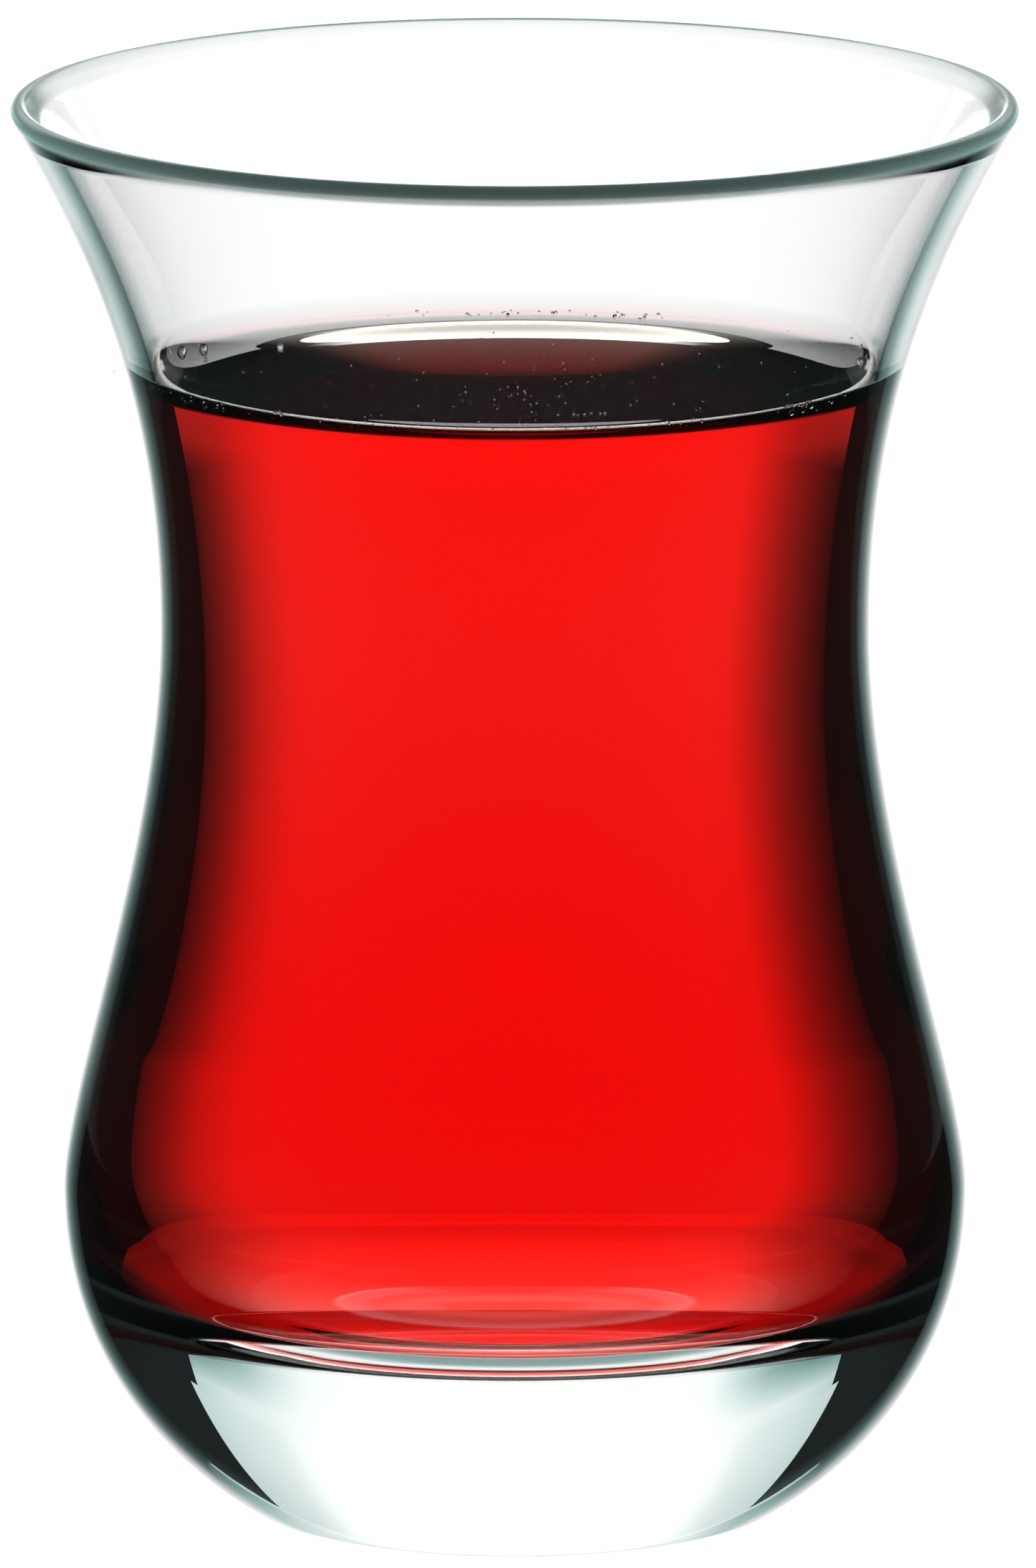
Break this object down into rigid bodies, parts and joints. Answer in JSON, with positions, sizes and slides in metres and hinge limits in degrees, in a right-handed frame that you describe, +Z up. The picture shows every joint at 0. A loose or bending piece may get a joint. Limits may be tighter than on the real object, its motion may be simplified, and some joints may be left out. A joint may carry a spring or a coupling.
{
  "type": "turkish tea glass with tea",
  "caption": "Waisted tulip-shaped clear drinking glass with a flared rounded lip and a thick solid base, filled with dark red black tea to below the rim.",
  "frame": {"origin": "middle of the foot, on the surface that the glass stands on", "axes": "+Z up along the axis that the glass is turned about, +X and +Y across the foot"},
  "size_m": [0.06, 0.06, 0.0853],
  "materials": {
    "clear_glass": "clear colourless soda-lime glass, smooth and glossy, faintly green in its thick edges",
    "black_tea": "clear dark red-brown tea, a still liquid with a glossy surface"
  },
  "bodies": {
    "root": {"glass": "clear_glass", "tea": "black_tea"}
  },
  "joints": []
}
